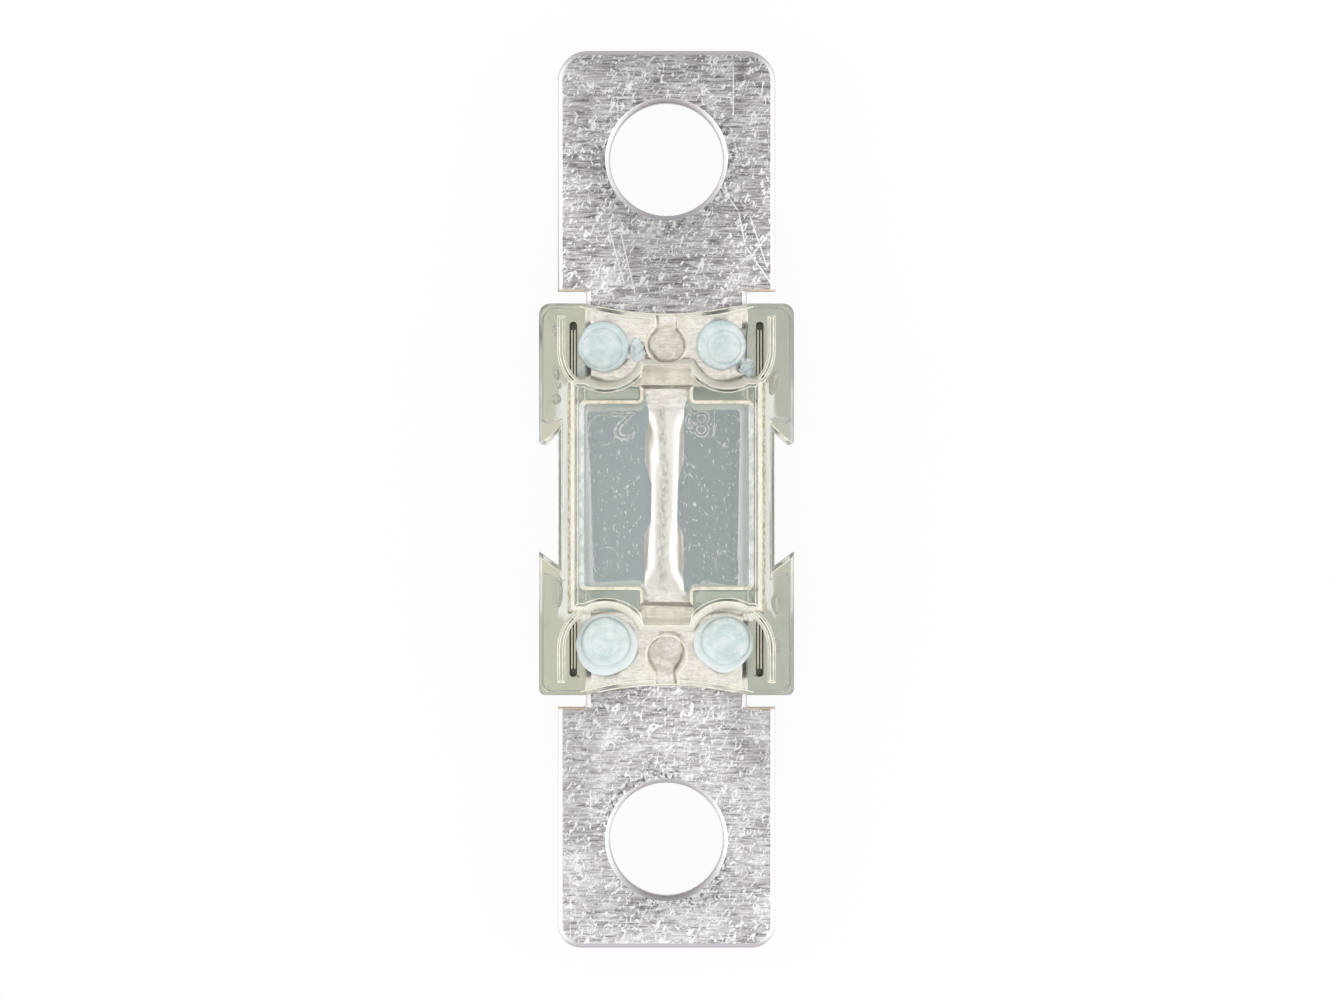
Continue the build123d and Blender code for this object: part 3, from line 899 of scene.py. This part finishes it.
# %% [markdown]
# ## Tongue and gate lines
#
# The ribbons on the tongues' edges are copies of one cube, made flat and narrow. The lines round
# the gate wells are edges of the base again, but wider and pressed flat.

# %% Tongue and gate lines
tongue_edges, tongue_top = (6.83 * mm, 7.07 * mm), 2.15 * mm
tongue_near, tongue_far = 9.25 * mm, 12.65 * mm
tongue_line_w, tongue_line_h = 0.06 * mm, 0.01 * mm
gate_line_r, gate_flatness = 0.085 * mm, 0.12


def another(obj):
    """A copy of an object with its own mesh."""
    copied = obj.copy()
    copied.data = obj.data.copy()
    bpy.context.collection.objects.link(copied)
    return copied


# the tongue lines are ribbons of painted highlight
clear_selection()
bpy.ops.mesh.primitive_cube_add(size=1)
ribbon = bpy.context.object
for side, along in ((-1, -1), (-1, 1), (1, -1), (1, 1)):
    for across in tongue_edges:
        line = another(ribbon)
        line.scale = (tongue_line_w, tongue_far - tongue_near, tongue_line_h)
        line.location = (side * across, along * (tongue_near + tongue_far) / 2,
                         tongue_top + tongue_line_h)
        name = "tongue_line_%d_%d_%d" % (side, along, across / mm * 100)
        finish_piece(line, name, inner_light, 30)
bpy.data.objects.remove(ribbon)
print("tongue lines:", 4 * len(tongue_edges))
# the gate lines are painted highlights too
pale_lines("gate_lines", lambda edge: catches_highlight(edge) and at_gate(edge), gate_line_r,
           inner_light, gate_flatness)

# %% [markdown]
# ## Melted heads
#
# Each head was pressed by a round tool while the plastic was soft. A filled circle is extruded
# again and again, and every new ring is moved and resized, which gives the skirt, the groove that
# the tool's rim left, and the tool's faint circles. Every head was pressed a little differently,
# so the rings of each have their own radius, height and place. The rims are then made uneven with
# smooth noise, whose seed is fixed.

# %% Melted heads
upper_left = [  # each ring's radius, height and middle, in mm, from the skirt to the middle
    (1.86, 0.0, 0, 0), (1.92, 0.20, 0, 0), (1.86, 0.42, 0, 0), (1.72, 0.52, 0, 0),
    (1.56, 0.50, -0.05, -0.1), (1.50, 0.44, -0.07, -0.14), (1.44, 0.52, -0.07, -0.14),
    (1.0, 0.56, -0.05, -0.1), (0.94, 0.53, -0.05, -0.1), (0.88, 0.56, -0.05, -0.1),
    (0.5, 0.55, 0, 0), (0.42, 0.50, 0, 0), (0.2, 0.52, 0, 0),
]
upper_right = [
    (1.80, 0.0, 0, 0), (1.86, 0.18, 0, 0), (1.80, 0.40, 0, 0), (1.66, 0.50, 0, 0),
    (1.34, 0.50, 0.16, -0.1), (1.24, 0.42, 0.2, -0.14), (1.16, 0.52, 0.2, -0.14),
    (0.9, 0.54, 0.2, -0.1), (0.84, 0.50, 0.2, -0.1), (0.78, 0.53, 0.2, -0.1),
    (0.4, 0.52, 0.1, 0), (0.2, 0.50, 0.1, 0),
]
lower_left = [
    (2.22, 0.0, 0, -0.16), (2.28, 0.10, 0, -0.16), (2.18, 0.17, 0, -0.16), (1.88, 0.20, -0.02, 0),
    (1.80, 0.12, -0.03, 0.08), (1.72, 0.40, -0.03, 0.1), (1.60, 0.48, -0.03, 0.1),
    (1.15, 0.50, 0, 0.1), (1.09, 0.47, 0, 0.1), (1.03, 0.50, 0, 0.1),
    (0.6, 0.52, 0.05, 0.05), (0.54, 0.49, 0.05, 0.05), (0.3, 0.52, 0.05, 0),
]
lower_right = [
    (2.10, 0.0, -0.15, -0.16), (2.16, 0.10, -0.15, -0.16), (2.06, 0.17, -0.15, -0.16),
    (1.86, 0.20, -0.05, 0), (1.78, 0.12, 0, 0.08), (1.70, 0.40, 0, 0.1), (1.56, 0.48, 0, 0.1),
    (1.2, 0.50, 0.1, 0.15), (1.14, 0.47, 0.1, 0.15), (1.08, 0.50, 0.1, 0.15),
    (0.7, 0.50, 0.15, 0.1), (0.64, 0.47, 0.15, 0.1), (0.3, 0.50, 0.1, 0.1),
]
heads = {  # the pixel of each head's middle, its rings, and how uneven its rim is
    "head_upper_left": ((603.0, 346.8), upper_left, 0.05),
    "head_upper_right": ((721.2, 345.2), upper_right, 0.05),
    "head_lower_left": ((606.0, 642.8), lower_left, 0.06),
    "head_lower_right": ((726.0, 641.6), lower_right, 0.09),
}


def ringed_head(name, middle, rings, uneven, seed):
    """Extrudes a filled circle from ring to ring, and makes the head's rim and top uneven."""
    radius, height, dx, dy = rings[0]
    at = Vector((middle[0] + dx * mm, middle[1] + dy * mm, middle[2] + height * mm))
    clear_selection()
    bpy.ops.mesh.primitive_circle_add(vertices=64, radius=radius * mm, fill_type="NGON",
                                      location=at)
    head = bpy.context.object
    bpy.ops.object.transform_apply(location=True, rotation=True, scale=True)
    edit(head)
    bpy.ops.mesh.select_all(action="SELECT")
    for ring in rings[1:]:
        next_at = Vector(middle) + Vector((ring[2], ring[3], ring[1])) * mm
        bpy.ops.mesh.extrude_region_move(TRANSFORM_OT_translate={"value": next_at - at})
        grow = ring[0] / radius
        bpy.ops.transform.resize(value=(grow, grow, 1), center_override=next_at)
        radius, at = ring[0], next_at
    bpy.ops.mesh.poke()
    leave_edit()
    outer = rings[0][0] * mm
    for vertex in head.data.vertices:
        out = Vector((vertex.co.x - middle[0], vertex.co.y - middle[1]))
        turn = atan2(out.y, out.x)
        wobble = noise.noise(Vector((cos(turn) * 1.4, sin(turn) * 1.4, seed)))
        grow = 1 + uneven * wobble * min(out.length / outer, 1.0) ** 4
        vertex.co.x, vertex.co.y = middle[0] + out.x * grow, middle[1] + out.y * grow
        if vertex.co.z > middle[2] + 0.05 * mm:
            spot = Vector((vertex.co.x, vertex.co.y, seed * mm)) / (0.8 * mm)
            vertex.co.z += noise.noise(spot) * 0.04 * mm
    finish_piece(head, name, milky_plastic, 50)


for number, (name, (middle_at, rings, uneven)) in enumerate(heads.items()):
    seed = 3.7 * number + 1.3
    ringed_head(name, at_px(*middle_at, pocket_floor + 0.01 * mm), rings, uneven, seed)
print("heads:", len(heads))

# %% [markdown]
# ## Melt flakes
#
# Some of the melted plastic ran out beside the two upper heads and was torn off. A small sphere is
# flattened and crumpled with noise, several times over, and the lumps are joined into one flake.

# %% Melt flakes
flakes = {  # each lump's pixel, half sizes in mm and turn in degrees
    "flake_left": [((637, 347), (0.42, 0.62, 0.22), 8), ((638.5, 356), (0.50, 0.46, 0.20), -25),
                   ((633.5, 352), (0.28, 0.60, 0.16), 10)],
    "flake_right": [((747, 367), (0.46, 0.36, 0.22), 30), ((750, 373), (0.34, 0.30, 0.18), 0),
                    ((743, 371), (0.30, 0.22, 0.16), -40), ((749, 362), (0.25, 0.30, 0.14), 15)],
}


def joined(objects):
    """Joins several objects into the first of them."""
    only(objects[0])
    for obj in objects:
        obj.select_set(True)
    bpy.ops.object.join()
    return objects[0]


for seed, (name, lumps) in enumerate(flakes.items()):
    made = []
    for number, (middle_at, half, turn) in enumerate(lumps):
        clear_selection()
        bpy.ops.mesh.primitive_ico_sphere_add(subdivisions=4, radius=1,
                                              location=at_px(*middle_at, pocket_floor + 0.16 * mm))
        lump = bpy.context.object
        lump.scale = Vector(half) * mm
        lump.rotation_euler = (0, 0, radians(turn))
        for vertex in lump.data.vertices:
            crumple = noise.fractal(vertex.co * 1.6 + Vector((seed, number, 5)), 0.8, 2.1, 4)
            vertex.co *= 1 + 0.38 * crumple
        made.append(lump)
    finish_piece(joined(made), name, milky_plastic, 40)
print("flakes:", len(flakes))

# %% [markdown]
# ## Voids in the wings
#
# Thick plastic shrinks as it cools, and small lens-shaped voids are left inside the wings. Each is
# a flattened sphere inside the base. Its wall is a little frosted, so it catches the light and
# stands out pale against the green of the wing.

# %% Voids in the wings
void_z, void_half_z = 1.3 * mm, 0.32 * mm
film_thick, film_thin = (0.98, 0.96, 0.90, 1), (1, 1, 0.98, 1)
void_clear, tree, shader = new_material("void_clear")
film = grain(tree, (1500, 1500, 1500), detail=1)
fill(tree, shader.inputs, {
    "Base Color": blend(tree, film, film_thick, film_thin), "IOR": 1.25,
    "Roughness": between(tree, film, 0.3, 0.7, 0.10, 0.35), "Transmission Weight": 0.6,
})
void_px = [  # each void's pixel, half sizes in mm, and turn in degrees
    ((556.5, 331), (0.30, 0.36), 0), ((557, 373), (0.24, 0.52), 12), ((557, 399), (0.36, 0.38), 0),
    ((773, 383), (0.36, 0.90), -12), ((559.5, 592), (0.28, 1.15), 0), ((775, 604), (0.32, 0.72), 6),
    ((775, 647), (0.34, 0.62), 0), ((560, 386), (0.20, 0.26), -20),
]
for number, (middle_at, (half_x, half_y), turn) in enumerate(void_px):
    clear_selection()
    bpy.ops.mesh.primitive_uv_sphere_add(segments=32, ring_count=16, radius=1,
                                         location=at_px(*middle_at, void_z))
    void = bpy.context.object
    void.scale = (half_x * mm, half_y * mm, void_half_z)
    void.rotation_euler = (0, 0, radians(turn))
    finish_piece(void, "void_%d" % (number + 1), void_clear, 60)
print("voids:", len(void_px))

# %% [markdown]
# ## Marks on the chamber's floor
#
# The floor carries four rings from the ejector pins, two plain numbers and a short bar. They stand
# out as thin pale outlines of painted highlight: like the lines above they are flat and metallic. A
# ring is a very thin torus, pressed flat. A number is a text object without a filling, whose
# outline is given a round bevel, made into a mesh and pressed flat too.

# %% Marks on the chamber's floor
line_r, mark_high, ring_r = 0.065 * mm, 0.016 * mm, 1.2 * mm
mark_z = cavity_floor + mark_high
# painted highlight on the marks and on the dust grains
mark_dim, mark_light = (0.62, 0.66, 0.67, 1), (0.98, 1, 1, 1)
mark_line, tree, shader = new_material("mark_line")
wear_and_glint = grain(tree, (2200, 2200, 2200), detail=2)
fill(tree, shader.inputs, {
    "Base Color": blend(tree, between(tree, wear_and_glint, 0.38, 0.60), mark_dim, mark_light),
    "Roughness": between(tree, wear_and_glint, 0.3, 0.7, 0.15, 0.35), "Metallic": 1.0,
})
ring_px = [(601.6, 425), (735, 426), (601.6, 564.7), (734.3, 565)]
for number, middle_at in enumerate(ring_px):
    clear_selection()
    bpy.ops.mesh.primitive_torus_add(major_radius=ring_r, minor_radius=line_r * 0.6,
                                     major_segments=64, minor_segments=8,
                                     location=at_px(*middle_at, mark_z))
    bpy.context.object.scale.z = mark_high / line_r
    finish_piece(bpy.context.object, "ejector_ring_%d" % (number + 1), mark_line, 60)


def outlined_number(name, body, middle_at, width, height, turn):
    """A number of the given size, as a thin flat outline."""
    clear_selection()
    bpy.ops.object.text_add(location=(0, 0, 0))
    text = bpy.context.object
    text.data.body = body
    text.data.size = 1
    text.data.align_x, text.data.align_y = "CENTER", "CENTER"
    text.data.fill_mode = "NONE"
    text.data.bevel_depth = 0.022
    text.data.bevel_resolution = 2
    bpy.ops.object.convert(target="MESH")
    number = bpy.context.object
    bpy.ops.object.origin_set(type="ORIGIN_GEOMETRY", center="BOUNDS")
    number.dimensions = (width, height, mark_high)
    number.rotation_euler = (0, 0, radians(turn))
    number.location = at_px(*middle_at, mark_z)
    finish_piece(number, name, mark_line, 60)


outlined_number("number_left", "2", (624, 420.5), 1.95 * mm, 2.2 * mm, 180)
outlined_number("number_right", "8", (703, 419), 1.5 * mm, 2.15 * mm, 0)
clear_selection()
bpy.ops.mesh.primitive_cube_add(size=1, location=at_px(717.7, 416.5, mark_z))
bar = bpy.context.object
bar.scale = (line_r * 1.6, 2.45 * mm, mark_high)
finish_piece(bar, "number_bar", mark_line, 60)
print("marks:", len(ring_px), "rings, 2 numbers and a bar")

# %% [markdown]
# ## Dust on the chamber's floor
#
# The chamber's floor is covered with fine pale scratches and grains. One tiny flat-sided grain is
# copied four hundred times. A seeded random generator gives each copy its place, size and turn, and
# draws some of them out along the strip, and all of them are joined into one object.

# %% Dust on the chamber's floor
grain_count, chance = 400, random.Random(7)
clear_selection()
bpy.ops.mesh.primitive_ico_sphere_add(subdivisions=1, radius=1)
first_grain = bpy.context.object
grains = []
for number in range(grain_count):
    bit = another(first_grain)
    side = chance.choice((-1, 1))
    bit.location = (side * chance.uniform(1.7, 6.0) * mm, chance.uniform(-6.1, 6.9) * mm,
                    cavity_floor + 0.02 * mm)
    bit.scale = (chance.uniform(0.03, 0.065) * mm, chance.choice((0.04, 0.07, 0.20)) * mm,
                 0.006 * mm)
    bit.rotation_euler = (0, 0, chance.gauss(0, 0.35))
    grains.append(bit)
bpy.data.objects.remove(first_grain)
# the dust grains share the marks' metallic painted highlight
finish_piece(joined(grains), "floor_dust", mark_line, 30)
print("dust:", grain_count, "grains")
